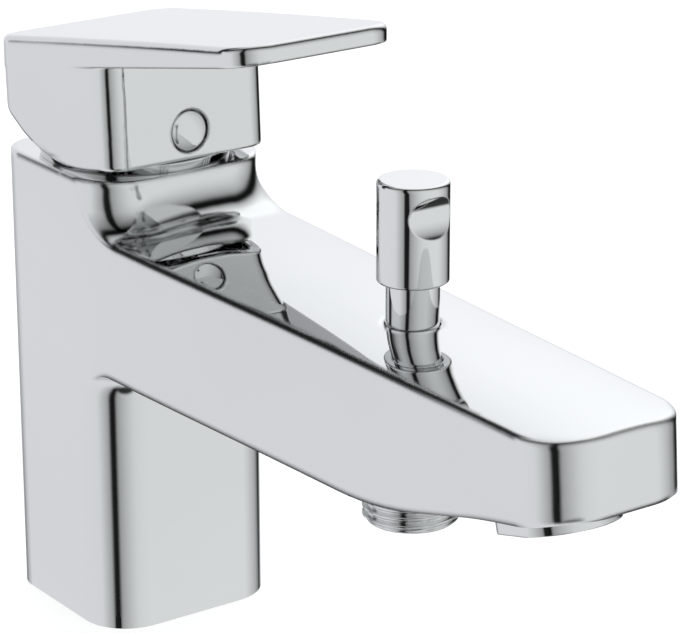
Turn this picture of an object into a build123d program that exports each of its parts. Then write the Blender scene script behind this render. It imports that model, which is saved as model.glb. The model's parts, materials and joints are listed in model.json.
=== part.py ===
from build123d import *
import math
import os

os.makedirs("parts", exist_ok=True)

# Clearances between mating pieces
RUNNING_FIT = 0.05
LOOSE_FIT = 0.2

# Column, with the origin at the centre of its foot
COLUMN_WIDTH = 46.8
COLUMN_DEPTH = 45.4
COLUMN_FRONT_RADIUS = 11.6
COLUMN_BACK_RADIUS = 8.8
BODY_TOP = 107.85
BODY_EDGE = 0.5

# Spout: a flat-bottomed arm with a gently crowned top that falls toward the tip
SPOUT_TOP_Z = 98.0
SPOUT_TOP_SLOPE = 0.0236
SPOUT_CROWN_RADIUS = 120.0
SPOUT_OUTLINE_Z = 88.0
SPOUT_TIP_Y = -175.9
SPOUT_TIP_LEAN = 0.083
SPOUT_TIP_RADIUS = 8.0
SPOUT_TIP_HALF_WIDTH = 18.5
SPOUT_TIP_TAPER = 0.012
SPOUT_TAPER = [(0.26, 0.764), (0.535, 0.379), (0.79, 0.133)]
SPOUT_BOTTOM_Z = 64.0
SPOUT_RISE_Y = -120.0
SPOUT_RISE_ANGLE = 15.0
SPOUT_RISE_BLEND = 12.5
SPOUT_TOP_EDGE = 0.9
SPOUT_ROOT_INSET = 0.02
FLARE_RADIUS = 9.8
UNDER_FLARE_RADIUS = 6.0

# Water passages
INLET_X = 8.0
INLET_Y = 5.0
INLET_SOCKET_RADIUS = 5.0
INLET_SOCKET_DEPTH = 12.0
WATERWAY_RADIUS = 3.6
DUCT_HALF_WIDTH = 9.0
DUCT_BOTTOM = 69.0
DUCT_TOP = 87.0
DUCT_CORNER = 4.0
DUCT_BACK_Y = -22.5
DUCT_FRONT_Y = -92.0

# Fixing stud hole
STUD_Y = -10.0
STUD_RADIUS = 4.0
STUD_DEPTH = 14.0

# Base gasket
GASKET_INSET = 3.0
GASKET_WIDTH = 2.2
GASKET_THICKNESS = 2.0

# Cartridge
CARTRIDGE_RADIUS = 17.5
WELL_FLOOR = 80.0
FIXED_DISC_Z = 88.0
FIXED_DISC_THICKNESS = 3.4
MOVING_DISC_THICKNESS = 3.0
DISC_RADIUS = 12.5
DISC_HALF_WIDTH = 12.0
DISC_GAP = 0.02
HOUSING_TOP = 106.2
HOUSING_WALL = 1.5
PORT_RADIUS = 3.6
OUTLET_PORT_Y = -9.0
PORT_SEAL_RADIUS = 5.2
PORT_SEAL_THICKNESS = 1.6
NUT_RADIUS = 19.5
NUT_BOTTOM = 99.0
NUT_LIP = 2.0
NUT_TOP = HOUSING_TOP + NUT_LIP + 0.2
PIVOT_Z = 112.0
BALL_ARM = 12.5
BALL_RADIUS = 3.4
LIFT_RANGE = 25.0
REST_TILT = LIFT_RANGE / 2
PIN_RADIUS = 1.5
ROTOR_NECK_RADIUS = 9.6
ROTOR_TOP = 113.9
CARRIER_TOP = 102.2
SPINDLE_SQUARE = 8.0
SPINDLE_TOP = 15.0

# Bonnet ring
BONNET_RADIUS = COLUMN_DEPTH / 2 - 0.5
BONNET_FOOT_RADIUS = BONNET_RADIUS - 0.7
BONNET_TOP = BODY_TOP + 2.35
BONNET_GAP = 0.2
MARK_AZIMUTH = 15.0
MARK_PITCH = 2.2
MARK_WIDTH = 0.35

# Lever: a wide blade over a skirt that leans back as it rises
LEVER_HALF_WIDTH = COLUMN_WIDTH / 2
LEVER_BACK_Y = COLUMN_DEPTH / 2 + 0.5
LEVER_BACK_RADIUS = 7.0
LEVER_TIP_Y = -74.5
LEVER_TIP_HALF_WIDTH = 20.3
LEVER_TIP_RADIUS = 8.0
LEVER_TIP_BOW = 0.4
LEVER_TOP_BACK_Z = 133.2
LEVER_TOP_TIP_Z = 149.85
LEVER_TOP_BOW = 0.35
BLADE_TIP_THICKNESS = 4.1
BLADE_ROOT_THICKNESS = 6.4
SKIRT_FRONT_Y = -COLUMN_DEPTH / 2
SKIRT_LEAN = 0.0465
SKIRT_FRONT_HALF_WIDTH = 21.1
SKIRT_FRONT_RADIUS = 6.0
SKIRT_FRONT_BOTTOM = 111.1
SKIRT_BOTTOM_Z = 109.4
SKIRT_BACK_BOTTOM = 120.6
SKIRT_WALL = 2.6
BLADE_EDGE = 1.4
BLADE_UNDER_EDGE = 0.5
CAVITY_TOP = 131.0
BOSS_HALF_WIDTH = 7.0
BOSS_BOTTOM = 4.2
GRUB_HEIGHT = 10.2
GRUB_RADIUS = 2.5
GRUB_LENGTH = 6.0
BUTTON_RADIUS = 4.75
BUTTON_THICKNESS = 2.0

# Diverter
DIVERTER_Y = -106.5
CHAMBER_RADIUS = 9.0
CHAMBER_TOP = 87.0
KNOB_RADIUS = 7.54
KNOB_BOTTOM = 105.3
KNOB_TOP = 126.65
KNOB_EDGE = 0.8
SCOOP_Z = 120.1
SCOOP_RADIUS = 5.95
SCOOP_DEPTH = 2.0
NECK_RADIUS = 5.6
NECK_BOTTOM = 83.5
TOP_HOLE_RADIUS = 5.95
BUSH_RADIUS = 7.5
BUSH_BOTTOM = 86.0
BUSH_TOP = 92.5
DIVERTER_LIFT = 6.0
PISTON_BOTTOM = 70.0
PISTON_TOP = 74.0
PISTON_RADIUS = 8.0
ROD_RADIUS = 2.5
UPPER_SEAT_Z = PISTON_TOP + DIVERTER_LIFT
UPPER_SEAT_THICKNESS = 1.5

# Shower outlet
OUTLET_THREAD_RADIUS = 10.4775
OUTLET_BOTTOM = 53.0
OUTLET_TOP = 70.0
OUTLET_TENON_RADIUS = 9.6
OUTLET_CHAMFER = 0.8
OUTLET_BORE = 7.4
OUTLET_THROAT = 5.5

# Check valve in the shower outlet
VALVE_LIFT = 2.0
VALVE_BOTTOM = OUTLET_BOTTOM + VALVE_LIFT
VALVE_TOP = 66.0
VALVE_WALL = 1.3
POPPET_RADIUS = 4.8
POPPET_STEM_RADIUS = 1.2
GUIDE_THICKNESS = 1.5

# Aerator, on an axis square to the raised part of the underside
AERATOR_Y = -155.14
AERATOR_Z = 68.2
AERATOR_RADIUS = 12.55
AERATOR_FLATS = 11.6
AERATOR_THREAD_RADIUS = 12.0
AERATOR_PROJECTION = 5.0
AERATOR_THREAD_LENGTH = 8.0
AERATOR_INSERT_DEPTH = 9.0
AERATOR_INSERT_PLATE = 1.4


def rounded(face, corners):
    for x, y, radius in corners:
        vertex = face.vertices().sort_by_distance(Vector(x, y, 0))[0]
        face = fillet(vertex, radius)
    return face


def column_outline(inset=0.0):
    half_width = COLUMN_WIDTH / 2 - inset
    half_depth = COLUMN_DEPTH / 2 - inset
    face = Rectangle(2 * half_width, 2 * half_depth)
    return rounded(
        face,
        [
            (-half_width, -half_depth, COLUMN_FRONT_RADIUS - inset),
            (half_width, -half_depth, COLUMN_FRONT_RADIUS - inset),
            (-half_width, half_depth, COLUMN_BACK_RADIUS - inset),
            (half_width, half_depth, COLUMN_BACK_RADIUS - inset),
        ],
    )


def side_profile(edges):
    return Plane.YZ * make_face(edges)


def ring(outer, inner, bottom, top):
    height = top - bottom
    return Pos(0, 0, bottom + height / 2) * (Cylinder(outer, height) - Cylinder(inner, height))


def post(radius, bottom, top):
    return Pos(0, 0, (bottom + top) / 2) * Cylinder(radius, top - bottom)


def block(x0, x1, y0, y1, z0, z1):
    centre = Pos((x0 + x1) / 2, (y0 + y1) / 2, (z0 + z1) / 2)
    return centre * Box(x1 - x0, y1 - y0, z1 - z0)


def spout_side():
    root_x, root_y = COLUMN_WIDTH / 2 - SPOUT_ROOT_INSET, -COLUMN_DEPTH / 2 + COLUMN_FRONT_RADIUS
    tip_x, tip_y = SPOUT_TIP_HALF_WIDTH, SPOUT_TIP_Y + SPOUT_TIP_RADIUS
    points = [(root_x, root_y)]
    for along, extra in SPOUT_TAPER:
        points.append((tip_x + extra * (root_x - tip_x), root_y + along * (tip_y - root_y)))
    return points + [(tip_x, tip_y)]


def spout_outline():
    right = spout_side()
    left = [(-x, y) for x, y in reversed(right)]
    start, end = right[0], right[-1]
    flat_x = end[0] - SPOUT_TIP_RADIUS
    arc_x = flat_x + SPOUT_TIP_RADIUS * math.sqrt(0.5)
    arc_y = end[1] - SPOUT_TIP_RADIUS * math.sqrt(0.5)
    back_y = start[1] + COLUMN_FRONT_RADIUS / 3
    return make_face(
        [
            Line((-start[0], back_y), (start[0], back_y)),
            Line((start[0], back_y), start),
            Spline(*right, tangents=[(0, -1), (-SPOUT_TIP_TAPER, -1)]),
            ThreePointArc(end, (arc_x, arc_y), (flat_x, SPOUT_TIP_Y)),
            Line((flat_x, SPOUT_TIP_Y), (-flat_x, SPOUT_TIP_Y)),
            ThreePointArc((-flat_x, SPOUT_TIP_Y), (-arc_x, arc_y), left[0]),
            Spline(*left, tangents=[(-SPOUT_TIP_TAPER, 1), (0, 1)]),
            Line(left[-1], (-start[0], back_y)),
        ]
    )


def spout_profile():
    back_y = COLUMN_DEPTH / 4
    front_y = SPOUT_TIP_Y - 6.0
    slope = math.tan(math.radians(SPOUT_RISE_ANGLE))
    turn = (SPOUT_RISE_Y, SPOUT_BOTTOM_Z)
    tip_bottom = (front_y, SPOUT_BOTTOM_Z + slope * (SPOUT_RISE_Y - front_y))
    face = make_face(
        Polyline(
            (back_y, BODY_TOP), (front_y, BODY_TOP), tip_bottom, turn, (back_y, SPOUT_BOTTOM_Z), close=True
        )
    )
    blend = SPOUT_RISE_BLEND / math.tan(math.radians(SPOUT_RISE_ANGLE / 2))
    return Plane.YZ * rounded(face, [(turn[0], turn[1], blend)])


def crowned_slab():
    # Wider than the spout: a barrel along the top's sloping centre line, cut to the side profile
    lean = math.atan(SPOUT_TOP_SLOPE)
    along = Vector(0, math.cos(lean), math.sin(lean))
    up = Vector(0, -math.sin(lean), math.cos(lean))
    root = Vector(0, -COLUMN_DEPTH / 2, SPOUT_TOP_Z)
    frame = Plane(origin=root - up * SPOUT_CROWN_RADIUS, x_dir=(1, 0, 0), z_dir=along)
    barrel = frame * Cylinder(SPOUT_CROWN_RADIUS, -3 * SPOUT_TIP_Y)
    return barrel & extrude(spout_profile(), amount=COLUMN_WIDTH, both=True)


def on_column_wall(edge):
    # True for an edge that lies in the column's front, side or corner faces
    for part_way in (0.1, 0.5, 0.9):
        point = edge @ part_way
        dx = abs(point.X) - COLUMN_WIDTH / 2 + COLUMN_FRONT_RADIUS
        dy = -point.Y - COLUMN_DEPTH / 2 + COLUMN_FRONT_RADIUS
        reach = math.hypot(dx, dy) if min(dx, dy) > 0 else max(dx, dy)
        if abs(reach - COLUMN_FRONT_RADIUS) > 0.05:
            return False
    return True


def wall_edges(solid, low, high):
    return [edge for edge in solid.edges() if low < edge.center().Z < high and on_column_wall(edge)]


def make_spout(column):
    # The slab and the column are blended above and below before the slab is cut to the spout's outline
    joined = column + crowned_slab()
    joined = fillet(wall_edges(joined, SPOUT_TOP_Z - 5, SPOUT_TOP_Z), FLARE_RADIUS)
    joined = fillet(wall_edges(joined, SPOUT_BOTTOM_Z - 0.1, SPOUT_BOTTOM_Z + 0.1), UNDER_FLARE_RADIUS)

    start = SPOUT_BOTTOM_Z - 2 * UNDER_FLARE_RADIUS
    base = Pos(0, SPOUT_TIP_LEAN * (start - SPOUT_OUTLINE_Z), start)
    spout = joined & extrude(base * spout_outline(), amount=BODY_TOP + 1 - start, dir=(0, SPOUT_TIP_LEAN, 1))
    crown = spout.faces().filter_by(GeomType.CYLINDER).sort_by(SortBy.AREA)[-1]
    rim = [edge for edge in crown.edges() if edge.center().Y < -COLUMN_DEPTH / 2 - FLARE_RADIUS]
    return fillet(rim, SPOUT_TOP_EDGE)


def aerator_frame():
    # Local z runs out of the spout, square to the raised underside
    lean = math.radians(SPOUT_RISE_ANGLE)
    return Plane(
        origin=(0, AERATOR_Y, AERATOR_Z),
        x_dir=(1, 0, 0),
        z_dir=(0, -math.sin(lean), -math.cos(lean)),
    )


def make_body():
    column = extrude(column_outline(), amount=BODY_TOP)
    spout = make_spout(column)
    column = fillet(column.edges().group_by(Axis.Z)[-1], BODY_EDGE)
    body = column + spout

    # Cartridge well, nut thread and the two cold and hot ways from below
    body -= post(CARTRIDGE_RADIUS + LOOSE_FIT, WELL_FLOOR, BODY_TOP + 1)
    body -= post(NUT_RADIUS, NUT_BOTTOM, BODY_TOP + 1)
    for x in (-INLET_X, INLET_X):
        socket = post(INLET_SOCKET_RADIUS, -1, INLET_SOCKET_DEPTH)
        way = post(WATERWAY_RADIUS, INLET_SOCKET_DEPTH - 1, WELL_FLOOR + 1)
        body -= Pos(x, INLET_Y, 0) * (socket + way)
    body -= Pos(0, STUD_Y, 0) * post(STUD_RADIUS, -1, STUD_DEPTH)

    # Mixed water: down from the well, along the spout and through the diverter
    body -= Pos(0, OUTLET_PORT_Y, 0) * post(PORT_RADIUS, DUCT_BOTTOM + 4, WELL_FLOOR + 1)
    body -= block(-7, 7, DUCT_BACK_Y - 1, OUTLET_PORT_Y + PORT_RADIUS, DUCT_BOTTOM, WELL_FLOOR - 4)
    duct = block(-DUCT_HALF_WIDTH, DUCT_HALF_WIDTH, DUCT_FRONT_Y, DUCT_BACK_Y, DUCT_BOTTOM, DUCT_TOP)
    body -= fillet(duct.edges().filter_by(Axis.Y), DUCT_CORNER)
    body -= block(-7, 7, DIVERTER_Y, DUCT_FRONT_Y + 1, PISTON_TOP, UPPER_SEAT_Z)
    body -= block(-8, 8, AERATOR_Y + 8, DIVERTER_Y, UPPER_SEAT_Z + UPPER_SEAT_THICKNESS, CHAMBER_TOP)
    at_diverter = Pos(0, DIVERTER_Y, 0)
    body -= at_diverter * post(CHAMBER_RADIUS, OUTLET_TOP - 1, CHAMBER_TOP)
    body -= at_diverter * post(BUSH_RADIUS, CHAMBER_TOP - 1, BUSH_TOP)
    body -= at_diverter * post(TOP_HOLE_RADIUS, BUSH_TOP - 1, BODY_TOP)
    body -= at_diverter * post(OUTLET_TENON_RADIUS, OUTLET_BOTTOM, OUTLET_TOP)

    # Aerator socket
    depth = AERATOR_PROJECTION + AERATOR_THREAD_LENGTH
    frame = aerator_frame()
    body -= frame * post(AERATOR_THREAD_RADIUS, -depth - 1, 1)
    body -= frame * post(AERATOR_THREAD_RADIUS - 3, -depth - 5, -depth)

    body -= gasket_ring(GASKET_THICKNESS)
    return body


def gasket_ring(top):
    outer = column_outline(GASKET_INSET)
    inner = column_outline(GASKET_INSET + GASKET_WIDTH)
    return extrude(outer - inner, amount=top)


def make_cartridge_base():
    base = post(CARTRIDGE_RADIUS, WELL_FLOOR, FIXED_DISC_Z)
    for x, y in port_centres():
        base -= Pos(x, y, 0) * post(PORT_RADIUS, WELL_FLOOR - 1, FIXED_DISC_Z + 1)
        base -= Pos(x, y, 0) * post(PORT_SEAL_RADIUS, WELL_FLOOR - 1, WELL_FLOOR + PORT_SEAL_THICKNESS)
    return base


def port_centres():
    return [(-INLET_X, INLET_Y), (INLET_X, INLET_Y), (0, OUTLET_PORT_Y)]


def make_port_seals():
    seals = [
        Pos(x, y, 0) * ring(PORT_SEAL_RADIUS, PORT_RADIUS, WELL_FLOOR, WELL_FLOOR + PORT_SEAL_THICKNESS)
        for x, y in port_centres()
    ]
    return Compound(children=seals)


def make_fixed_disc():
    radius = CARTRIDGE_RADIUS - HOUSING_WALL
    disc = post(radius, FIXED_DISC_Z, FIXED_DISC_Z + FIXED_DISC_THICKNESS)
    for x, y in port_centres():
        disc -= Pos(x, y, 0) * post(PORT_RADIUS, FIXED_DISC_Z - 1, FIXED_DISC_Z + FIXED_DISC_THICKNESS + 1)
    return disc


def make_housing():
    shell = post(CARTRIDGE_RADIUS, FIXED_DISC_Z, HOUSING_TOP)
    shell -= post(CARTRIDGE_RADIUS - HOUSING_WALL, FIXED_DISC_Z - 1, HOUSING_TOP - HOUSING_WALL)
    shell -= post(ROTOR_NECK_RADIUS + RUNNING_FIT, HOUSING_TOP - 3, HOUSING_TOP + 1)
    return shell


def make_nut():
    nut = ring(NUT_RADIUS, CARTRIDGE_RADIUS + LOOSE_FIT, NUT_BOTTOM, NUT_TOP)
    nut += ring(NUT_RADIUS, ROTOR_NECK_RADIUS + 1.6, HOUSING_TOP, HOUSING_TOP + NUT_LIP)
    return nut


def make_bonnet():
    # Narrower at its foot, so that its wall faces slightly down
    plate = 1.4
    height = BONNET_TOP - BODY_TOP
    middle = Pos(0, 0, BODY_TOP + height / 2)
    bonnet = middle * Cone(BONNET_FOOT_RADIUS, BONNET_RADIUS, height)
    wall_lean = math.degrees(math.atan2(BONNET_RADIUS - BONNET_FOOT_RADIUS, height))
    wall_y = -(BONNET_RADIUS + BONNET_FOOT_RADIUS) / 2
    top_edge = bonnet.edges().filter_by(GeomType.CIRCLE).sort_by(Axis.Z)[-1]
    bonnet = fillet(top_edge, 0.3)
    bonnet -= post(NUT_RADIUS + 0.3, BODY_TOP - 1, BONNET_TOP - plate)
    bonnet -= post(ROTOR_NECK_RADIUS + 2.8, BODY_TOP - 1, BONNET_TOP + 1)
    for side in (-1, 1):
        for step in (-1, 0, 1):
            angle = side * MARK_AZIMUTH + step * MARK_PITCH
            groove = middle * Pos(0, wall_y, 0) * Rot(wall_lean, 0, 0) * Box(MARK_WIDTH, 0.3, 2 * height)
            bonnet -= Rot(0, 0, angle) * groove
    return bonnet


def make_rotor():
    flange_bottom = CARRIER_TOP + RUNNING_FIT
    flange_top = HOUSING_TOP - HOUSING_WALL - RUNNING_FIT
    inner = CARTRIDGE_RADIUS - HOUSING_WALL - 0.3
    rotor = post(inner, flange_bottom, flange_top)
    rotor += post(ROTOR_NECK_RADIUS, flange_bottom, ROTOR_TOP)
    # Two cheeks guide the disc carrier and turn it with the lever
    cheek_x = DISC_HALF_WIDTH + RUNNING_FIT
    skirt = post(inner, FIXED_DISC_Z + FIXED_DISC_THICKNESS + 3.4, flange_bottom + 1)
    skirt -= block(-cheek_x, cheek_x, -20, 20, FIXED_DISC_Z, flange_bottom)
    rotor += skirt
    slot_half = SPINDLE_SQUARE / 2 + 0.1
    rotor -= block(-slot_half, slot_half, -6.2, 6.2, FIXED_DISC_Z, ROTOR_TOP + 1)
    rotor -= Pos(0, 0, PIVOT_Z) * Rot(0, 90, 0) * Cylinder(PIN_RADIUS, 40)
    return rotor


def make_pin():
    return Pos(0, 0, PIVOT_Z) * Rot(0, 90, 0) * Cylinder(PIN_RADIUS, 2 * ROTOR_NECK_RADIUS - 1.0)


def rest_offset():
    return BALL_ARM * math.sin(math.radians(REST_TILT))


def flatted_disc(bottom, top):
    flats = block(-DISC_HALF_WIDTH, DISC_HALF_WIDTH, -2 * DISC_RADIUS, 2 * DISC_RADIUS, bottom, top)
    return post(DISC_RADIUS, bottom, top) & flats


def make_moving_disc():
    bottom = FIXED_DISC_Z + FIXED_DISC_THICKNESS + DISC_GAP
    top = bottom + MOVING_DISC_THICKNESS
    disc = flatted_disc(bottom, top)
    disc -= block(-6, 6, -6, 4, bottom - 1, top - 1.2)
    return Pos(0, rest_offset(), 0) * disc


def make_carrier():
    bottom = FIXED_DISC_Z + FIXED_DISC_THICKNESS + DISC_GAP + MOVING_DISC_THICKNESS
    carrier = flatted_disc(bottom, CARRIER_TOP)
    carrier -= post(BALL_RADIUS + LOOSE_FIT, bottom + 1, CARRIER_TOP + 1)
    return Pos(0, rest_offset(), 0) * carrier


def stem_frame():
    # Local z runs up the spindle, which leans forward while the tap is shut
    lean = math.radians(REST_TILT)
    return Plane(
        origin=(0, 0, PIVOT_Z),
        x_dir=(1, 0, 0),
        z_dir=(0, -math.sin(lean), math.cos(lean)),
    )


def make_spindle():
    half = SPINDLE_SQUARE / 2
    spindle = block(-half, half, -half, half, -3.5, SPINDLE_TOP)
    spindle += post(2.6, -BALL_ARM, -3.0)
    spindle += Pos(0, 0, -BALL_ARM) * Sphere(BALL_RADIUS)
    spindle -= Rot(0, 90, 0) * Cylinder(PIN_RADIUS + RUNNING_FIT, 20)
    flat = Pos(0, -half, GRUB_HEIGHT) * Rot(90, 0, 0) * Cylinder(GRUB_RADIUS + 0.3, 1.0)
    spindle -= flat
    return stem_frame() * spindle


def lever_top_line():
    y0, z0 = LEVER_BACK_Y, LEVER_TOP_BACK_Z
    y1, z1 = LEVER_TIP_Y - 2.0, LEVER_TOP_TIP_Z + 0.3
    mid = ((y0 + y1) / 2, (z0 + z1) / 2 + LEVER_TOP_BOW)
    return (y0, z0), mid, (y1, z1)


def lever_side():
    return (LEVER_HALF_WIDTH, LEVER_BACK_Y), (LEVER_TIP_HALF_WIDTH, LEVER_TIP_Y)


def blade_outline():
    (xb, yb), (xt, yt) = lever_side()
    edges = [
        Line((-xb, yb), (xb, yb)),
        Line((xb, yb), (xt, yt)),
        ThreePointArc((xt, yt), (0, yt - LEVER_TIP_BOW), (-xt, yt)),
        Line((-xt, yt), (-xb, yb)),
    ]
    return rounded(
        make_face(edges),
        [
            (-xb, yb, LEVER_BACK_RADIUS),
            (xb, yb, LEVER_BACK_RADIUS),
            (-xt, yt, LEVER_TIP_RADIUS),
            (xt, yt, LEVER_TIP_RADIUS),
        ],
    )


def skirt_outline():
    (xb, yb), (xt, yt) = lever_side()
    yf = SKIRT_FRONT_Y
    leave_y = -6.0
    leave_x = xb + (xt - xb) * (yb - leave_y) / (yb - yt)
    front_x = SKIRT_FRONT_HALF_WIDTH
    points = [
        (-xb, yb),
        (xb, yb),
        (leave_x, leave_y),
        (front_x, yf),
        (-front_x, yf),
        (-leave_x, leave_y),
    ]
    face = make_face(Polyline(*points, close=True))
    return rounded(
        face,
        [
            (-xb, yb, LEVER_BACK_RADIUS),
            (xb, yb, LEVER_BACK_RADIUS),
            (leave_x, leave_y, 60.0),
            (-leave_x, leave_y, 60.0),
            (front_x, yf, SKIRT_FRONT_RADIUS),
            (-front_x, yf, SKIRT_FRONT_RADIUS),
        ],
    )


def blade_root():
    # Where the blade's underside meets the front of the skirt
    (y0, z0), mid, (y1, z1) = lever_top_line()
    along = (y0 - SKIRT_FRONT_Y) / (y0 - y1)
    return SKIRT_FRONT_Y, z0 + along * (z1 - z0) + LEVER_TOP_BOW - BLADE_ROOT_THICKNESS


def blade_profile():
    back, mid, tip = lever_top_line()
    under_tip = (tip[0], tip[1] - BLADE_TIP_THICKNESS)
    under_root = blade_root()
    slope = (under_tip[1] - under_root[1]) / (under_tip[0] - under_root[0])
    under_back = (back[0], under_root[1] + slope * (back[0] - under_root[0]))
    edges = [
        ThreePointArc(back, mid, tip),
        Line(tip, under_tip),
        Line(under_tip, under_back),
        Line(under_back, back),
    ]
    return side_profile(edges)


def skirt_profile():
    # A foot with a long bow, level at the front and climbing to the back
    front_y = skirt_front(SKIRT_BOTTOM_Z) - SKIRT_WALL
    low = (SKIRT_FRONT_Y + 17.7, SKIRT_BOTTOM_Z)
    front = (SKIRT_FRONT_Y + 3.7, SKIRT_FRONT_BOTTOM)
    rise = (LEVER_BACK_Y - 12.2, SKIRT_BOTTOM_Z + 4.0)
    inside_z = blade_root()[1] + BLADE_TIP_THICKNESS / 2
    edges = [
        Line((LEVER_BACK_Y, SKIRT_BACK_BOTTOM), rise),
        ThreePointArc(rise, low, front),
        Line(front, (front_y, SKIRT_FRONT_BOTTOM)),
        Line((front_y, SKIRT_FRONT_BOTTOM), (front_y, inside_z)),
        Line((front_y, inside_z), (LEVER_BACK_Y, LEVER_TOP_BACK_Z - BLADE_EDGE)),
        Line((LEVER_BACK_Y, LEVER_TOP_BACK_Z - BLADE_EDGE), (LEVER_BACK_Y, SKIRT_BACK_BOTTOM)),
    ]
    return side_profile(edges)


def skirt_front(z):
    # The front lies over the column's front at the height of the lever's back edge
    return SKIRT_FRONT_Y - SKIRT_LEAN * (LEVER_TOP_BACK_Z - z)


def leaning(outline, bottom, top):
    # Pulls a plan drawn at the height of the lever's back edge up and down along the lean
    base = Pos(0, SKIRT_LEAN * (bottom - LEVER_TOP_BACK_Z), bottom) * outline
    return extrude(base, amount=top - bottom, dir=(0, SKIRT_LEAN, 1))


def level_face(solid, side):
    # The largest face that looks up (side 1) or down (side -1)
    return max(solid.faces(), key=lambda face: side * face.normal_at().Z * face.area)


def make_lever():
    wide = 2 * LEVER_HALF_WIDTH
    low = Pos(0, 0, SKIRT_BOTTOM_Z - 10.0)
    tall = LEVER_TOP_TIP_Z - SKIRT_BOTTOM_Z + 20.0
    blade = extrude(low * blade_outline(), amount=tall)
    blade &= extrude(blade_profile(), amount=wide, both=True)
    blade = fillet(level_face(blade, 1).edges(), BLADE_EDGE)
    blade = fillet([edge for edge in level_face(blade, -1).edges() if edge.center().Y < 0], BLADE_UNDER_EDGE)
    skirt = leaning(skirt_outline(), SKIRT_BOTTOM_Z - 5.0, LEVER_TOP_TIP_Z)
    skirt &= extrude(skirt_profile(), amount=wide, both=True)
    skirt &= extrude(low * blade_outline(), amount=tall)
    lever = blade + skirt

    room_width = 2 * (SKIRT_FRONT_HALF_WIDTH - SKIRT_WALL)
    room_depth = LEVER_BACK_Y - SKIRT_FRONT_Y - 2 * SKIRT_WALL
    room = Pos(0, (LEVER_BACK_Y + SKIRT_FRONT_Y) / 2, 0) * RectangleRounded(
        room_width, room_depth, SKIRT_FRONT_RADIUS - SKIRT_WALL
    )
    lever -= leaning(room, SKIRT_BOTTOM_Z - 1.0, CAVITY_TOP)

    frame = stem_frame()
    half = BOSS_HALF_WIDTH
    boss = frame * block(-half, half, -half, half, BOSS_BOTTOM, LEVER_TOP_BACK_Z - PIVOT_Z)
    boss &= leaning(skirt_outline(), SKIRT_BOTTOM_Z, CAVITY_TOP + 1)
    lever += boss
    hole = SPINDLE_SQUARE / 2 + 0.1
    lever -= frame * block(-hole, hole, -hole, hole, BOSS_BOTTOM - 1, SPINDLE_TOP + 0.5)

    # Room for the bonnet ring at every height of the lever
    ring_room = post(BONNET_RADIUS + BONNET_GAP, BODY_TOP - 20, BONNET_TOP + 2 * BONNET_GAP)
    for step in range(6):
        turned = Rot(LIFT_RANGE * step / 5, 0, 0)
        lever -= Pos(0, 0, PIVOT_Z) * turned * Pos(0, 0, -PIVOT_Z) * ring_room

    # Grub screw's way in, and the button's seat at its mouth
    grub_way = Rot(90, 0, 0) * Cylinder(GRUB_RADIUS, 2 * LEVER_HALF_WIDTH)
    lever -= frame * Pos(0, -LEVER_HALF_WIDTH, GRUB_HEIGHT) * grub_way
    lever -= button_frame() * post(BUTTON_RADIUS + 0.2, -BUTTON_THICKNESS, 3)
    return lever


def button_frame():
    # Flush with the skirt's front, where the grub screw's axis meets it
    lean = math.radians(REST_TILT)
    run = -SKIRT_FRONT_Y - GRUB_HEIGHT * math.sin(lean)
    z = PIVOT_Z + GRUB_HEIGHT * math.cos(lean) - run * math.tan(lean)
    return Plane(origin=(0, skirt_front(z), z), x_dir=(1, 0, 0), z_dir=(0, -1, SKIRT_LEAN))


def make_button():
    plug = post(1.8, -BUTTON_THICKNESS - 1.4, -BUTTON_THICKNESS + 0.2)
    return button_frame() * (post(BUTTON_RADIUS, -BUTTON_THICKNESS, 0) + plug)


def make_grub():
    grub = post(GRUB_RADIUS, 0, GRUB_LENGTH)
    grub -= Pos(0, 0, GRUB_LENGTH) * extrude(RegularPolygon(1.45, 6), amount=-2.5)
    frame = stem_frame() * Plane(
        origin=(0, -SPINDLE_SQUARE / 2 + 0.4, GRUB_HEIGHT), x_dir=(1, 0, 0), z_dir=(0, -1, 0)
    )
    return frame * grub


def make_knob():
    knob = post(KNOB_RADIUS, KNOB_BOTTOM, KNOB_TOP)
    rims = knob.edges().filter_by(GeomType.CIRCLE)
    knob = fillet(rims.sort_by(Axis.Z)[-1], KNOB_EDGE)
    knob = fillet(knob.edges().filter_by(GeomType.CIRCLE).sort_by(Axis.Z)[0], 0.3)
    knob += post(NECK_RADIUS, NECK_BOTTOM, KNOB_BOTTOM + 1)
    for side in (-1, 1):
        centre = Pos(0, side * (KNOB_RADIUS - SCOOP_DEPTH + SCOOP_RADIUS), SCOOP_Z)
        knob -= centre * Rot(0, 90, 0) * Cylinder(SCOOP_RADIUS, 30)
    knob -= post(ROD_RADIUS, NECK_BOTTOM - 1, NECK_BOTTOM + 8)
    return Pos(0, DIVERTER_Y, 0) * knob


def make_rod():
    return Pos(0, DIVERTER_Y, 0) * post(ROD_RADIUS, PISTON_BOTTOM - 2, NECK_BOTTOM + 8)


def make_piston():
    piston = post(PISTON_RADIUS, PISTON_BOTTOM, PISTON_TOP)
    piston -= post(PISTON_RADIUS - 1.3, PISTON_BOTTOM + 1.4, PISTON_TOP + 1)
    piston -= post(ROD_RADIUS, PISTON_BOTTOM - 1, PISTON_TOP + 1)
    return Pos(0, DIVERTER_Y, 0) * piston


def coil(radius, wire, bottom, top, turns):
    height = top - bottom - 2 * wire
    path = Helix(pitch=height / turns, height=height, radius=radius)
    section = Plane(origin=path @ 0, z_dir=path % 0) * RegularPolygon(wire, 6)
    return Pos(0, 0, bottom + wire) * sweep(section, path=path, is_frenet=True)


def make_diverter_spring():
    return Pos(0, DIVERTER_Y, 0) * coil(5.9, 0.35, PISTON_BOTTOM + 1.6, UPPER_SEAT_Z - 0.2, 3)


def make_upper_seat():
    return Pos(0, DIVERTER_Y, 0) * ring(
        CHAMBER_RADIUS, 5.0, UPPER_SEAT_Z, UPPER_SEAT_Z + UPPER_SEAT_THICKNESS
    )


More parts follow.
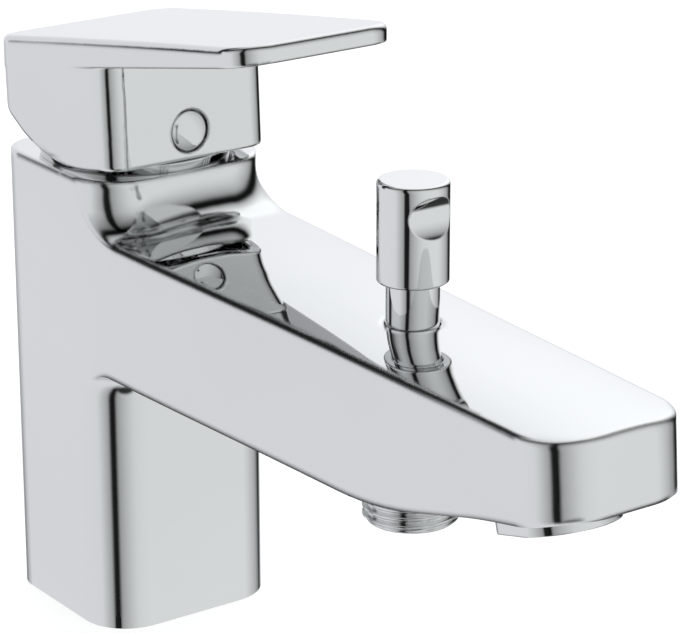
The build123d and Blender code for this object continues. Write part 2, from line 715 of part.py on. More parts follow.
def make_bush():
    bush = ring(BUSH_RADIUS, NECK_RADIUS + RUNNING_FIT, BUSH_BOTTOM, BUSH_TOP)
    bush -= ring(NECK_RADIUS + 1.3, NECK_RADIUS - 1, BUSH_BOTTOM + 2.4, BUSH_BOTTOM + 4.2)
    return Pos(0, DIVERTER_Y, 0) * bush


def make_bush_seal():
    return Pos(0, DIVERTER_Y, 0) * ring(
        NECK_RADIUS + 1.3, NECK_RADIUS + 0.02, BUSH_BOTTOM + 2.4, BUSH_BOTTOM + 4.2
    )


def make_nipple():
    nipple = post(OUTLET_THREAD_RADIUS, OUTLET_BOTTOM, SPOUT_BOTTOM_Z)
    nipple = chamfer(nipple.edges().filter_by(GeomType.CIRCLE).sort_by(Axis.Z)[0], OUTLET_CHAMFER)
    nipple += post(OUTLET_TENON_RADIUS, SPOUT_BOTTOM_Z - 1, OUTLET_TOP - 0.02)
    nipple -= post(OUTLET_BORE, OUTLET_BOTTOM - 1, VALVE_TOP)
    nipple -= post(OUTLET_THROAT, OUTLET_BOTTOM, OUTLET_TOP + 1)
    return Pos(0, DIVERTER_Y, 0) * nipple


def make_valve_housing():
    outer = OUTLET_BORE - 0.1
    inner = outer - VALVE_WALL
    housing = ring(outer, inner, VALVE_BOTTOM, VALVE_TOP)
    housing += ring(outer, POPPET_RADIUS - 1.2, VALVE_TOP - 1.4, VALVE_TOP)
    guide = ring(2.6, POPPET_STEM_RADIUS + RUNNING_FIT, VALVE_BOTTOM, VALVE_BOTTOM + GUIDE_THICKNESS)
    for angle in (0, 90, 180, 270):
        arm = block(2.2, inner + 0.4, -0.8, 0.8, VALVE_BOTTOM, VALVE_BOTTOM + GUIDE_THICKNESS)
        guide += Rot(0, 0, angle) * arm
    return Pos(0, DIVERTER_Y, 0) * (housing + guide)


def make_poppet():
    seat = VALVE_TOP - 1.4 - 0.05
    poppet = post(POPPET_RADIUS, seat - 1.4, seat)
    poppet += post(POPPET_STEM_RADIUS, VALVE_BOTTOM + 0.2, seat - 1)
    return Pos(0, DIVERTER_Y, 0) * poppet


def make_valve_spring():
    top = VALVE_TOP - 1.45 - 1.4
    spring = coil(2.2, 0.25, VALVE_BOTTOM + GUIDE_THICKNESS, top, 3)
    return Pos(0, DIVERTER_Y, 0) * spring


def make_aerator_shell():
    depth = AERATOR_PROJECTION + AERATOR_THREAD_LENGTH
    shell = post(AERATOR_RADIUS, -AERATOR_PROJECTION + 0.1, 0)
    shell &= block(-AERATOR_FLATS, AERATOR_FLATS, -20, 20, -10, 10)
    shell += post(AERATOR_THREAD_RADIUS, -depth, -AERATOR_PROJECTION + 0.2)
    shell -= post(AERATOR_THREAD_RADIUS - 1.6, -depth - 1, -2.0)
    shell -= post(AERATOR_THREAD_RADIUS - 2.6, -depth - 1, 1)
    return aerator_frame() * shell


def make_aerator_insert():
    outer = AERATOR_THREAD_RADIUS - 1.7
    insert = post(outer, -AERATOR_INSERT_DEPTH, -2.0)
    insert -= post(outer - 1.2, AERATOR_INSERT_PLATE - AERATOR_INSERT_DEPTH, -1.0)
    cell = 2.4
    bars = post(outer - 0.6, -3.6, -2.2)
    grid = GridLocations(cell, cell, 7, 7)
    slots = Compound(children=[place * Box(cell - 0.7, cell - 0.7, 12) for place in grid])
    bars -= slots
    insert += bars
    for place in PolarLocations(5.2, 8):
        insert -= place * Pos(0, 0, -AERATOR_INSERT_DEPTH) * Cylinder(0.9, 4 * AERATOR_INSERT_PLATE)
    return aerator_frame() * insert


def make_aerator_washer():
    depth = AERATOR_PROJECTION + AERATOR_THREAD_LENGTH
    return aerator_frame() * ring(AERATOR_THREAD_RADIUS, AERATOR_THREAD_RADIUS - 3, -depth - 1, -depth)


PARTS = {
    "body": make_body,
    "base_gasket": lambda: gasket_ring(GASKET_THICKNESS),
    "cartridge_base": make_cartridge_base,
    "port_seals": make_port_seals,
    "fixed_disc": make_fixed_disc,
    "cartridge_housing": make_housing,
    "cartridge_nut": make_nut,
    "bonnet_ring": make_bonnet,
    "rotor": make_rotor,
    "pivot_pin": make_pin,
    "moving_disc": make_moving_disc,
    "disc_carrier": make_carrier,
    "spindle": make_spindle,
    "lever": make_lever,
    "lever_button": make_button,
    "grub_screw": make_grub,
    "diverter_knob": make_knob,
    "diverter_rod": make_rod,
    "diverter_piston": make_piston,
    "diverter_spring": make_diverter_spring,
    "upper_seat": make_upper_seat,
    "diverter_bush": make_bush,
    "bush_seal": make_bush_seal,
    "shower_nipple": make_nipple,
    "valve_housing": make_valve_housing,
    "valve_poppet": make_poppet,
    "valve_spring": make_valve_spring,
    "aerator_shell": make_aerator_shell,
    "aerator_insert": make_aerator_insert,
    "aerator_washer": make_aerator_washer,
}

for name, make in PARTS.items():
    export_step(make(), f"parts/{name}.step")
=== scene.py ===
import json
import math

import bmesh
import bpy
from mathutils import Matrix, Vector


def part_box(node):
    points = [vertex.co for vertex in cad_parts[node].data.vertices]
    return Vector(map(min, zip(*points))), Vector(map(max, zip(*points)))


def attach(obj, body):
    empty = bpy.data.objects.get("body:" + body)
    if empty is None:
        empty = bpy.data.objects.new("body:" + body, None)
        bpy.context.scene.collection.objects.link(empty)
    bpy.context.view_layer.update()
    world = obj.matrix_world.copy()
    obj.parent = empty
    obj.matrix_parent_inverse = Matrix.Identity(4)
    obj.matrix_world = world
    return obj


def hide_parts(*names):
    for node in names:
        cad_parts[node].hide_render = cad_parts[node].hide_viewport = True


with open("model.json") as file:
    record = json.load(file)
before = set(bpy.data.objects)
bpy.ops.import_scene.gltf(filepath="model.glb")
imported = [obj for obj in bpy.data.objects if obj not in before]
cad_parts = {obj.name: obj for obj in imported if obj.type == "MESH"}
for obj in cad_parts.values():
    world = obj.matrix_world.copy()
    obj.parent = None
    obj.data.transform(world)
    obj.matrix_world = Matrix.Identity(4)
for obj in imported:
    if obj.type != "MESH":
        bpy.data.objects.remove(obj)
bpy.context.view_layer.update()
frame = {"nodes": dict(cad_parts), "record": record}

# Sizes are in metres, as the frame gives them, and angles in degrees
MM = 0.001
SHARP_ANGLE = 50.0

# Shower outlet: G 1/2 thread on a nipple with a stepped bore
THREAD_PITCH = 1.814 * MM
THREAD_DEPTH = 1.0 * MM
THREAD_SEGMENTS = 96
THREAD_ROWS_PER_TURN = 10
NIPPLE_BORE = 7.4 * MM
NIPPLE_THROAT = 5.5 * MM
NIPPLE_TENON = 9.6 * MM
NIPPLE_BORE_TOP = 66.0 * MM
NIPPLE_SHOULDER = 64.0 * MM
NIPPLE_CHAMFER = 1.1 * MM

# Spout tip as the CAD casting has it
CAST_HALF_WIDTH = 18.5 * MM
CAST_CORNER = 8.0 * MM
CAST_FRONT_Y = -175.9 * MM
CAST_SIDE_SLOPE = 0.018

# Spout tip as the photograph shows it: rounder corners about a turning point, and a lower underside
TIP_TURN_X = 5.7 * MM
TIP_TURN_Y = -163.4 * MM
TIP_ROUNDING = 12.5 * MM
TIP_LEAN = 0.083
TIP_LEAN_Z = 88.0 * MM
TIP_BLEND_Y = -132.0 * MM
TIP_CORE = 0.6
TIP_DROP = 1.3 * MM
TIP_DROP_START_Y = -148.0 * MM
TIP_DROP_TOP_Z = 88.0 * MM
TIP_DROP_LOW_Z = 79.0 * MM

# Planes that slice the tip's triangles, in whole millimetres, so that the move bends them smoothly
SLICES_ALONG = range(-175, -131)
SLICES_ACROSS = range(6, 19)
SLICE_MARGIN = 1e-8
SLOPE_STEP = 0.01 * MM
WELDS_PER_METRE = 1e7

# Button: a shallow dome in the lever's front, with an open joint round it
BUTTON_JOINT = 0.25 * MM
BUTTON_RISE = 0.3 * MM
BUTTON_SAG = 0.65 * MM
BUTTON_ROUND = 0.25 * MM
BUTTON_SEGMENTS = 64
BUTTON_DOME_RINGS = 8
BUTTON_ROUND_TURNS = range(0, 91, 15)
BUTTON_DEPTH_SHARE = 0.5
FRONT_FACING = -0.95

# Softened edges of the plated pieces
EDGE_SOFTNESS = 0.6 * MM
LEVER_EDGE_SOFTNESS = 1.2 * MM
CAST_EDGE_SOFTNESS = 2.2 * MM
BASE_CRISP_HEIGHT = 3.0 * MM
EDGE_SAMPLES = 8

# Noise lies mostly between these two values, so they are spread over the whole range
NOISE_LOW = 0.3
NOISE_HIGH = 0.7

# Camera, solved from the outlines in the photograph, in its pixels
IMAGE_WIDTH = 680
IMAGE_HEIGHT = 633
FOCAL_PIXELS = 3216.23
CENTRE_U = 364.05
CENTRE_V = 329.85
CAMERA_PLACE = (-0.371443, -0.604653, 0.314116)
CAMERA_YAW = -35.793
CAMERA_PITCH = -19.477
SENSOR_WIDTH = 36.0
CLIP_NEAR = 0.01
CLIP_FAR = 20.0

# Studio. Each panel has a heading (azimuth, elevation) and its brightness by degrees away from it.
# A reach says in the same way how much of a panel counts
BACK_PANEL = (
    (122, 28),
    [(0, 1.04), (14, 1.03), (22, 0.9), (28, 0.83), (34, 0.77), (45, 0.72), (60, 0.7), (180, 0.71)],
)
DARK_RIM = (
    (148, 34),
    [
        (0, 1.0), (32, 1.0), (36, 0.88), (42, 0.76), (46, 0.6), (49, 0.43), (52, 0.14), (55, 0.01),
        (64, 0.01), (68, 0.1), (72, 0.34), (76, 0.5), (80, 0.6), (85, 0.69), (93, 0.8), (98, 0.88),
        (108, 1.0), (180, 1.0),
    ],
)
RIM_REACH_RIGHT = ((70, 14), [(0, 1.0), (58, 1.0), (76, 0.0), (180, 0.0)])
RIM_REACH_ABOVE = ((-100, 65), [(0, 1.0), (42, 1.0), (54, 0.0), (180, 0.0)])
LEFT_RIM = ((165, -5), [(0, 1.0), (45, 1.0), (49, 0.05), (60, 0.03), (66, 0.9), (70, 1.0), (180, 1.0)])
LEFT_RIM_REACH = ((-152, 30), [(0, 1.0), (32, 1.0), (44, 0.0), (180, 0.0)])
CEILING = (
    (-10, 78),
    [(0, 0.42), (12, 0.55), (24, 0.78), (34, 0.84), (45, 0.92), (52, 0.97), (60, 1.0), (180, 1.0)],
)
TABLE_IN_FRONT = ((-24, -43), [(0, 0.06), (12, 0.06), (18, 1.0), (180, 1.0)])
LOW_BEHIND = ((172, -40), [(0, 0.03), (12, 0.05), (18, 0.4), (26, 0.75), (34, 1.0), (180, 1.0)])
LOW_RIGHT = ((84, -54), [(0, 0.04), (18, 0.06), (28, 1.0), (180, 1.0)])
COOL = (0.98, 0.985, 1.035)
COOLISH = (0.98, 0.99, 1.03)
GREENISH = (0.985, 1.01, 1.01)
GREENISH_FAR = (0.985, 1.012, 1.01)
ROOM_TINT = ((-170, -20), [(0, COOL), (50, COOLISH), (90, GREENISH), (180, GREENISH_FAR)])
GAP_NORMAL = (0.51, -0.849, 0.139)
GAP_STOPS = [
    (-180, 1.0), (-60, 1.0), (-36, 0.97), (-24, 0.75), (-12, 0.53), (-9, 0.42), (-6, 0.02), (6, 0.01),
    (8, 0.3), (12, 0.49), (24, 0.66), (36, 0.8), (48, 0.92), (60, 0.96), (80, 1.0), (180, 1.0),
]
GAP_REACH = ((0, -90), [(0, 0.0), (20, 0.1), (30, 0.6), (42, 1.0), (180, 1.0)])
STUDIO_LEVEL = 1.32

# Floor
FLOOR_SIZE = 8.0
FLOOR_GLOW = 0.7
FLOOR_PAINT = (0.9, 0.9, 0.9, 1)
FLOOR_ROUGHNESS = 0.8
WHITE = (1, 1, 1, 1)


def new_node(tree, kind, **settings):
    node = tree.nodes.new(kind)
    for key, value in settings.items():
        setattr(node, key, value)
    return node


def node_tree(material):
    material.use_nodes = True
    tree = material.node_tree
    tree.nodes.clear()
    output = new_node(tree, "ShaderNodeOutputMaterial")
    shader = new_node(tree, "ShaderNodeBsdfPrincipled")
    tree.links.new(shader.outputs["BSDF"], output.inputs["Surface"])
    return tree, shader


def math_node(tree, operation, *values):
    node = new_node(tree, "ShaderNodeMath", operation=operation)
    for socket, value in zip(node.inputs, values):
        if isinstance(value, (int, float)):
            socket.default_value = value
        else:
            tree.links.new(value, socket)
    return node.outputs["Value"]


def object_noise(tree, scale, detail, stretch=(1, 1, 1)):
    coords = new_node(tree, "ShaderNodeTexCoord")
    mapping = new_node(tree, "ShaderNodeMapping")
    mapping.inputs["Scale"].default_value = stretch
    noise = new_node(tree, "ShaderNodeTexNoise")
    noise.inputs["Scale"].default_value = scale
    noise.inputs["Detail"].default_value = detail
    tree.links.new(coords.outputs["Object"], mapping.inputs["Vector"])
    tree.links.new(mapping.outputs["Vector"], noise.inputs["Vector"])
    return noise.outputs["Fac"]


def map_range(tree, value, low, high):
    ranged = new_node(tree, "ShaderNodeMapRange")
    ranged.inputs["From Min"].default_value = NOISE_LOW
    ranged.inputs["From Max"].default_value = NOISE_HIGH
    ranged.inputs["To Min"].default_value = low
    ranged.inputs["To Max"].default_value = high
    tree.links.new(value, ranged.inputs["Value"])
    return ranged.outputs["Result"]


def colour_range(tree, value, dark, light):
    ramp = new_node(tree, "ShaderNodeValToRGB")
    first, last = ramp.color_ramp.elements
    first.position, last.position = NOISE_LOW, NOISE_HIGH
    first.color, last.color = (*dark, 1), (*light, 1)
    tree.links.new(value, ramp.inputs["Fac"])
    return ramp.outputs["Color"]


def bump(tree, shader, height, strength, distance):
    node = new_node(tree, "ShaderNodeBump")
    node.inputs["Strength"].default_value = strength
    node.inputs["Distance"].default_value = distance
    tree.links.new(height, node.inputs["Height"])
    tree.links.new(node.outputs["Normal"], shader.inputs["Normal"])


def softened_normal(tree, softness, crisp_below):
    # Rounds the sharp edges; below the given height, the machined edge at the foot stays crisp
    soft_edge = new_node(tree, "ShaderNodeBevel", samples=EDGE_SAMPLES)
    soft_edge.inputs["Radius"].default_value = softness
    if crisp_below is None:
        return soft_edge.outputs["Normal"]
    coords = new_node(tree, "ShaderNodeTexCoord")
    height = new_node(tree, "ShaderNodeSeparateXYZ")
    tree.links.new(coords.outputs["Object"], height.inputs["Vector"])
    above = math_node(tree, "GREATER_THAN", height.outputs["Z"], crisp_below)
    geometry = new_node(tree, "ShaderNodeNewGeometry")
    mix = new_node(tree, "ShaderNodeMix", data_type="VECTOR")
    tree.links.new(above, mix.inputs["Factor"])
    tree.links.new(geometry.outputs["Normal"], mix.inputs[4])
    tree.links.new(soft_edge.outputs["Normal"], mix.inputs[5])
    return mix.outputs[1]


def chrome(name, rough_low=0.01, rough_high=0.045, softness=EDGE_SOFTNESS, crisp_below=None):
    # Bright plate: nearly a mirror, with a faint haze and a faint tint that vary
    material = bpy.data.materials.new(name)
    tree, shader = node_tree(material)
    shader.inputs["Metallic"].default_value = 1.0
    haze = object_noise(tree, 90.0, 6.0)
    tree.links.new(map_range(tree, haze, rough_low, rough_high), shader.inputs["Roughness"])
    tint = object_noise(tree, 12.0, 2.0)
    plate = colour_range(tree, tint, (0.68, 0.69, 0.69), (0.715, 0.72, 0.72))
    tree.links.new(plate, shader.inputs["Base Color"])
    tree.links.new(softened_normal(tree, softness, crisp_below), shader.inputs["Normal"])
    return material


def matt(name, dark, light, roughness, grain, relief):
    material = bpy.data.materials.new(name)
    tree, shader = node_tree(material)
    noise = object_noise(tree, grain, 8.0)
    tree.links.new(colour_range(tree, noise, dark, light), shader.inputs["Base Color"])
    tree.links.new(map_range(tree, noise, roughness * 0.8, roughness * 1.2), shader.inputs["Roughness"])
    bump(tree, shader, noise, 0.4, relief)
    return material


def turned_metal(name, dark, light, roughness):
    # Fine rings left by turning, as a noise that is squeezed along the axis
    material = bpy.data.materials.new(name)
    tree, shader = node_tree(material)
    shader.inputs["Metallic"].default_value = 1.0
    rings = object_noise(tree, 60.0, 6.0, (0.3, 0.3, 40.0))
    tree.links.new(colour_range(tree, rings, dark, light), shader.inputs["Base Color"])
    tree.links.new(map_range(tree, rings, roughness * 0.7, roughness * 1.3), shader.inputs["Roughness"])
    bump(tree, shader, rings, 0.3, 0.02 * MM)
    return material


MATERIALS = {
    "chrome_casting": chrome("chrome_casting", softness=CAST_EDGE_SOFTNESS, crisp_below=BASE_CRISP_HEIGHT),
    "chrome_trim": chrome("chrome_trim"),
    "chrome_lever": chrome("chrome_lever", softness=LEVER_EDGE_SOFTNESS),
    "chrome_thread": chrome("chrome_thread", 0.05, 0.12),
    "bare_brass": turned_metal("bare_brass", (0.55, 0.38, 0.14), (0.72, 0.53, 0.24), 0.3),
    "steel": turned_metal("steel", (0.5, 0.5, 0.51), (0.66, 0.66, 0.67), 0.28),
    "spring_steel": turned_metal("spring_steel", (0.42, 0.42, 0.43), (0.6, 0.6, 0.6), 0.22),
    "black_rubber": matt("black_rubber", (0.012, 0.012, 0.012), (0.03, 0.03, 0.03), 0.7, 500.0, 0.04 * MM),
    "grey_plastic": matt("grey_plastic", (0.27, 0.29, 0.32), (0.34, 0.36, 0.39), 0.42, 700.0, 0.03 * MM),
    "white_plastic": matt("white_plastic", (0.72, 0.72, 0.69), (0.8, 0.8, 0.78), 0.38, 700.0, 0.03 * MM),
    "black_plastic": matt("black_plastic", (0.015, 0.015, 0.017), (0.03, 0.03, 0.032), 0.4, 700.0, 0.03 * MM),
    "white_ceramic": matt("white_ceramic", (0.78, 0.77, 0.73), (0.84, 0.83, 0.8), 0.12, 900.0, 0.01 * MM),
}


def dress_nodes():
    slots = {entry["node"]: entry["material_slot"] for entry in frame["record"]["subparts"]}
    for name, node in frame["nodes"].items():
        node.data.materials.clear()
        node.data.materials.append(MATERIALS[slots[name]])


def fasten(piece, body, slot, replaced):
    bpy.context.scene.collection.objects.link(piece)
    piece.data.materials.append(MATERIALS[slot])
    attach(piece, body)
    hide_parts(replaced)


def smooth(data):
    for face in data.polygons:
        face.use_smooth = True


def add_piece(name, mesh, body, slot, replaced):
    bmesh.ops.recalc_face_normals(mesh, faces=mesh.faces)
    data = bpy.data.meshes.new(name)
    mesh.to_mesh(data)
    mesh.free()
    smooth(data)
    data.set_sharp_from_angle(angle=math.radians(SHARP_ANGLE))
    fasten(bpy.data.objects.new(name, data), body, slot, replaced)


def join_loops(mesh, first, second):
    count = len(first)
    for segment in range(count):
        following = (segment + 1) % count
        mesh.faces.new((first[segment], first[following], second[following], second[segment]))


def soft_step(value):
    value = min(max(value, 0.0), 1.0)
    return value * value * (3 - 2 * value)


def thread_radius(major, angle, height):
    # A rounded 55-degree form: the crest winds up by one pitch in each turn
    phase = height / THREAD_PITCH - angle / (2 * math.pi)
    flank = abs(2 * (phase - math.floor(phase)) - 1)
    return major - THREAD_DEPTH * soft_step(flank)


def nipple_rings(major, foot, top):
    # (radius, height, threaded) up the outside, over the top and down the bore
    rows = round((NIPPLE_SHOULDER - foot) / THREAD_PITCH * THREAD_ROWS_PER_TURN)
    rings = [(NIPPLE_BORE, foot, False), (major - NIPPLE_CHAMFER, foot, False)]
    for row in range(1, rows):
        height = foot + (NIPPLE_SHOULDER - foot) * row / rows
        rings.append((min(major, major - NIPPLE_CHAMFER + height - foot), height, True))
    rings += [
        (major - THREAD_DEPTH, NIPPLE_SHOULDER, False),
        (NIPPLE_TENON, NIPPLE_SHOULDER, False),
        (NIPPLE_TENON, top, False),
        (NIPPLE_THROAT, top, False),
        (NIPPLE_THROAT, NIPPLE_BORE_TOP, False),
        (NIPPLE_BORE, NIPPLE_BORE_TOP, False),
    ]
    return rings


def make_threaded_nipple():
    low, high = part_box("shower_nipple")
    centre = (low + high) / 2
    major = (high.x - low.x) / 2
    mesh = bmesh.new()
    loops = []
    for radius, height, threaded in nipple_rings(major, low.z, high.z):
        loop = []
        for segment in range(THREAD_SEGMENTS):
            angle = 2 * math.pi * segment / THREAD_SEGMENTS
            reach = min(radius, thread_radius(major, angle, height)) if threaded else radius
            x, y = centre.x + reach * math.cos(angle), centre.y + reach * math.sin(angle)
            loop.append(mesh.verts.new((x, y, height)))
        loops.append(loop)
    for first, second in zip(loops, loops[1:] + loops[:1]):
        join_loops(mesh, first, second)
    add_piece("outlet_thread", mesh, "tap_body", "chrome_thread", "shower_nipple")


def button_rings(rim, depth):
    # (radius, height) over the dome, round its edge and down the side
    rings = []
    for ring in range(1, BUTTON_DOME_RINGS):
        share = ring / BUTTON_DOME_RINGS
        rings.append((rim * share, -BUTTON_SAG * share ** 2))
    for turn in BUTTON_ROUND_TURNS:
        angle = math.radians(turn)
        reach = rim - BUTTON_ROUND + BUTTON_ROUND * math.sin(angle)
        rings.append((reach, -BUTTON_SAG - BUTTON_ROUND * (1 - math.cos(angle))))
    rings.append((rim, -depth))
    return rings


def make_button():
    source = frame["nodes"]["lever_button"].data
    front = [face for face in source.polygons if face.normal.y < FRONT_FACING]
    area = sum(face.area for face in front)
    centre = sum((face.center * face.area for face in front), Vector()) / area
    axis = sum((face.normal * face.area for face in front), Vector()).normalized()
    centre += axis * BUTTON_RISE
    low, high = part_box("lever_button")
    rim = (high.x - low.x) / 2 - BUTTON_JOINT
    depth = (high.y - low.y) * BUTTON_DEPTH_SHARE
    across = Vector((1, 0, 0))
    upward = axis.cross(across).normalized()
    mesh = bmesh.new()
    loops = []
    for radius, height in button_rings(rim, depth):
        loop = []
        for segment in range(BUTTON_SEGMENTS):
            angle = 2 * math.pi * segment / BUTTON_SEGMENTS
            spot = across * math.cos(angle) * radius + upward * math.sin(angle) * radius
            loop.append(mesh.verts.new(centre + spot + axis * height))
        loops.append(loop)
    for first, second in zip(loops, loops[1:]):
        join_loops(mesh, first, second)
    for loop, height in ((loops[0], 0.0), (loops[-1], -depth)):
        middle = mesh.verts.new(centre + axis * height)
        for segment in range(BUTTON_SEGMENTS):
            mesh.faces.new((middle, loop[segment], loop[(segment + 1) % BUTTON_SEGMENTS]))
    add_piece("button", mesh, "handle", "chrome_trim", "lever_button")


def cast_reach(angle):
    # How far the CAD tip's outline lies from the turning point, 0 to the side and 90 degrees to the front
    corner_x = CAST_HALF_WIDTH - CAST_CORNER - TIP_TURN_X
    corner_y = TIP_TURN_Y - CAST_FRONT_Y - CAST_CORNER
    ahead, sideways = math.sin(angle), math.cos(angle)
    if sideways * corner_y > ahead * (corner_x + CAST_CORNER):
        return (corner_x + CAST_CORNER) / sideways
    if ahead * corner_x > sideways * (corner_y + CAST_CORNER):
        return (corner_y + CAST_CORNER) / ahead
    along = corner_x * sideways + corner_y * ahead
    off = corner_x * corner_x + corner_y * corner_y - CAST_CORNER * CAST_CORNER
    return along + math.sqrt(along * along - off)


def skin_share(share):
    # 0 in the tip's core, where the bores are, and 1 at its skin
    return soft_step((share - TIP_CORE) / (1 - TIP_CORE))


def rounded_tip(point):
    # Draws the skin of the tip in to the rounder outline
    side = 1 if point.x > 0 else -1
    lean = TIP_LEAN * (point.z - TIP_LEAN_Z)
    out_x, ahead = abs(point.x) - TIP_TURN_X, TIP_TURN_Y - (point.y - lean)
    if out_x <= 0 or point.y > TIP_BLEND_Y:
        return point.copy()
    if ahead <= 0:
        edge = CAST_HALF_WIDTH - TIP_TURN_X - CAST_SIDE_SLOPE * ahead
        inward = edge - TIP_ROUNDING + CAST_SIDE_SLOPE * ahead
        fade = soft_step((TIP_BLEND_Y - point.y) / (TIP_BLEND_Y - TIP_TURN_Y))
        shift = inward * fade * skin_share(out_x / edge)
        return Vector((point.x - side * shift, point.y, point.z))
    reach = cast_reach(math.atan2(ahead, out_x))
    share = math.hypot(out_x, ahead) / reach
    scale = 1 + (TIP_ROUNDING / reach - 1) * skin_share(share)
    return Vector((side * (TIP_TURN_X + out_x * scale), TIP_TURN_Y - ahead * scale + lean, point.z))


def lowered(point):
    # The underside of the tip hangs a little lower than the CAD casting's
    front = soft_step((TIP_DROP_START_Y - point.y) / (TIP_DROP_START_Y - CAST_FRONT_Y))
    height = soft_step((TIP_DROP_TOP_Z - point.z) / (TIP_DROP_TOP_Z - TIP_DROP_LOW_Z))
    return Vector((point.x, point.y, point.z - TIP_DROP * front * height))


def moved_corner(place, normal):
    # The normal follows the slope of the move at this place
    here = lowered(rounded_tip(place))
    rows = []
    for axis in ((1, 0, 0), (0, 1, 0), (0, 0, 1)):
        rows.append((lowered(rounded_tip(place + Vector(axis) * SLOPE_STEP)) - here) / SLOPE_STEP)
    return here, (Matrix(rows).inverted_safe() @ normal).normalized()


def split_triangles(triangles, axis, level):
    # Cuts each triangle that crosses the plane; a corner is (place, normal)
    result = []
    for corners in triangles:
        above = [corner[0][axis] > level + SLICE_MARGIN for corner in corners]
        below = [corner[0][axis] < level - SLICE_MARGIN for corner in corners]
        if not (any(above) and any(below)):
            result.append(corners)
            continue
        halves = ([], [])
        for index in range(3):
            following = (index + 1) % 3
            first, second = corners[index], corners[following]
            if not below[index]:
                halves[0].append(first)
            if not above[index]:
                halves[1].append(first)
            if (above[index] and below[following]) or (below[index] and above[following]):
                low, high = (first, second) if first[0][axis] < second[0][axis] else (second, first)
                share = (level - low[0][axis]) / (high[0][axis] - low[0][axis])
                cut = (low[0].lerp(high[0], share), low[1].lerp(high[1], share).normalized())
                halves[0].append(cut)
                halves[1].append(cut)
        for half in halves:
            for index in range(1, len(half) - 1):
                result.append((half[0], half[index], half[index + 1]))
    return result


def casting_triangles():
    # The CAD casting's triangles, of which those at the tip are sliced and moved
    source = frame["nodes"]["body"].data
    source.calc_loop_triangles()
    tip, rest = [], []
    for triangle in source.loop_triangles:
        corners = []
        for vertex, loop in zip(triangle.vertices, triangle.loops):
            corners.append((source.vertices[vertex].co.copy(), source.corner_normals[loop].vector.copy()))
        part = tip if min(place.y for place, normal in corners) < TIP_BLEND_Y else rest
        part.append(tuple(corners))
    for level in SLICES_ALONG:
        tip = split_triangles(tip, 1, level * MM)
    for level in SLICES_ACROSS:
        tip = split_triangles(tip, 0, level * MM)
        tip = split_triangles(tip, 0, -level * MM)
    return rest + [tuple(moved_corner(*corner) for corner in corners) for corners in tip]


def make_casting():
    places, numbers, faces, normals = [], {}, [], []
    for corners in casting_triangles():
        face = []
        for place, normal in corners:
            key = tuple(round(value * WELDS_PER_METRE) for value in place)
            if key not in numbers:
                numbers[key] = len(places)
                places.append(place)
            face.append(numbers[key])
        if len(set(face)) == 3:
            faces.append(face)
            normals.extend(normal for place, normal in corners)
    data = bpy.data.meshes.new("casting")
    data.from_pydata(places, [], faces)
    smooth(data)
    data.normals_split_custom_set(normals)
    fasten(bpy.data.objects.new("casting", data), "tap_body", "chrome_casting", "body")


def dot_with(tree, vector, direction):
    node = new_node(tree, "ShaderNodeVectorMath", operation="DOT_PRODUCT")
    tree.links.new(vector, node.inputs[0])
    node.inputs[1].default_value = direction
    return node.outputs["Value"]


def ramp_of(tree, value, stops):
    # stops: (position from 0 to 1, brightness or colour)
    node = new_node(tree, "ShaderNodeValToRGB")
    ramp = node.color_ramp
    while len(ramp.elements) < len(stops):
        ramp.elements.new(0.5)
    for element, (position, level) in zip(ramp.elements, stops):
        element.position = position
        element.color = (level, level, level, 1) if isinstance(level, float) else (*level, 1)
    tree.links.new(value, node.inputs["Fac"])
    return node.outputs["Color"]


def multiply(tree, first, second, share=1.0):
    # share: how much of the second colour counts, as a number or a socket
    node = new_node(tree, "ShaderNodeMix", data_type="RGBA", blend_type="MULTIPLY")
    if isinstance(share, float):
        node.inputs["Factor"].default_value = share
    else:
        tree.links.new(share, node.inputs["Factor"])
    tree.links.new(first, node.inputs[6])
    tree.links.new(second, node.inputs[7])
    return node.outputs[2]


def heading(azimuth, elevation):
    # Azimuth 0 is straight ahead of the spout (-Y), and grows toward +X
    a, e = math.radians(azimuth), math.radians(elevation)
    return Vector((math.sin(a) * math.cos(e), -math.cos(a) * math.cos(e), math.sin(e)))


def panel(tree, direction, place):
    centre, stops = place
    away = math_node(tree, "ARCCOSINE", dot_with(tree, direction, heading(*centre)))
    away = math_node(tree, "DIVIDE", away, math.pi)
    return ramp_of(tree, away, [(degrees / 180, level) for degrees, level in stops])


def upright_gap(tree, direction):
    # Brightness by the angle round the upright line of the dark gap between two panels on the left
    across = Vector(GAP_NORMAL).normalized()
    along = across.cross(Vector((0, 0, 1))).normalized()
    turn = math_node(tree, "ARCTAN2", dot_with(tree, direction, across), dot_with(tree, direction, along))
    turn = math_node(tree, "ADD", math_node(tree, "DIVIDE", turn, 2 * math.pi), 0.5)
    return ramp_of(tree, turn, [(degrees / 360 + 0.5, level) for degrees, level in GAP_STOPS])


def studio_light(tree, direction):
    # A pale room: a bright panel behind the tap with dark rims at its right, above it and at its left,
    # a dark upright gap, a grey ceiling, and dark edges low in front, behind and at the right
    above = panel(tree, direction, RIM_REACH_ABOVE)
    rim_reach = math_node(tree, "MAXIMUM", panel(tree, direction, RIM_REACH_RIGHT), above)
    light = panel(tree, direction, BACK_PANEL)
    light = multiply(tree, light, panel(tree, direction, DARK_RIM), rim_reach)
    light = multiply(tree, light, panel(tree, direction, LEFT_RIM), panel(tree, direction, LEFT_RIM_REACH))
    light = multiply(tree, light, upright_gap(tree, direction), panel(tree, direction, GAP_REACH))
    for place in (CEILING, TABLE_IN_FRONT, LOW_BEHIND, LOW_RIGHT, ROOM_TINT):
        light = multiply(tree, light, panel(tree, direction, place))
    return light


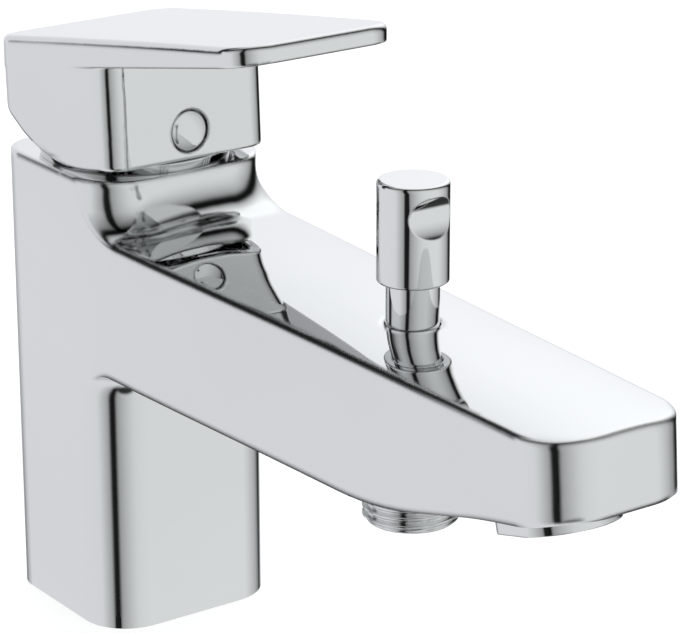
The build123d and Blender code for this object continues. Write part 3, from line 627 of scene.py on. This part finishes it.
def make_world():
    world = bpy.data.worlds.new("studio")
    bpy.context.scene.world = world
    world.use_nodes = True
    tree = world.node_tree
    tree.nodes.clear()
    output = new_node(tree, "ShaderNodeOutputWorld")
    coords = new_node(tree, "ShaderNodeTexCoord")
    studio = new_node(tree, "ShaderNodeBackground")
    tree.links.new(studio_light(tree, coords.outputs["Generated"]), studio.inputs["Color"])
    studio.inputs["Strength"].default_value = STUDIO_LEVEL
    white = new_node(tree, "ShaderNodeBackground")
    white.inputs["Color"].default_value = WHITE
    paths = new_node(tree, "ShaderNodeLightPath")
    mix = new_node(tree, "ShaderNodeMixShader")
    tree.links.new(paths.outputs["Is Camera Ray"], mix.inputs["Fac"])
    tree.links.new(studio.outputs["Background"], mix.inputs[1])
    tree.links.new(white.outputs["Background"], mix.inputs[2])
    tree.links.new(mix.outputs["Shader"], output.inputs["Surface"])


def floor_material():
    material = bpy.data.materials.new("floor_white")
    tree, shader = node_tree(material)
    shader.inputs["Base Color"].default_value = FLOOR_PAINT
    shader.inputs["Roughness"].default_value = FLOOR_ROUGHNESS
    shader.inputs["Emission Color"].default_value = WHITE
    paths = new_node(tree, "ShaderNodeLightPath").outputs
    glow = math_node(tree, "MULTIPLY", paths["Is Camera Ray"], FLOOR_GLOW)
    tree.links.new(glow, shader.inputs["Emission Strength"])
    # What the metal mirrors below the horizon is the same pale room
    clear = new_node(tree, "ShaderNodeBsdfTransparent")
    mix = new_node(tree, "ShaderNodeMixShader")
    mirrored = math_node(tree, "MAXIMUM", paths["Is Glossy Ray"], paths["Is Transmission Ray"])
    tree.links.new(mirrored, mix.inputs["Fac"])
    tree.links.new(shader.outputs["BSDF"], mix.inputs[1])
    tree.links.new(clear.outputs["BSDF"], mix.inputs[2])
    output = next(node for node in tree.nodes if node.type == "OUTPUT_MATERIAL")
    tree.links.new(mix.outputs["Shader"], output.inputs["Surface"])
    return material


def make_floor():
    bpy.ops.mesh.primitive_plane_add(size=FLOOR_SIZE, location=(0, 0, 0))
    floor = bpy.context.active_object
    floor.name = "floor"
    floor.data.materials.append(floor_material())


def make_camera():
    data = bpy.data.cameras.new("camera")
    camera = bpy.data.objects.new("camera", data)
    bpy.context.scene.collection.objects.link(camera)
    data.sensor_width = SENSOR_WIDTH
    data.lens = FOCAL_PIXELS * SENSOR_WIDTH / IMAGE_WIDTH
    data.shift_x = -(CENTRE_U - IMAGE_WIDTH / 2) / IMAGE_WIDTH
    data.shift_y = (CENTRE_V - IMAGE_HEIGHT / 2) / IMAGE_WIDTH
    data.clip_start = CLIP_NEAR
    data.clip_end = CLIP_FAR
    camera.location = CAMERA_PLACE
    camera.rotation_euler = (math.radians(90 + CAMERA_PITCH), 0, math.radians(CAMERA_YAW))
    bpy.context.scene.camera = camera


dress_nodes()
make_threaded_nipple()
make_casting()
make_button()
make_floor()
make_world()
make_camera()

bpy.context.scene.view_settings.view_transform = "Standard"
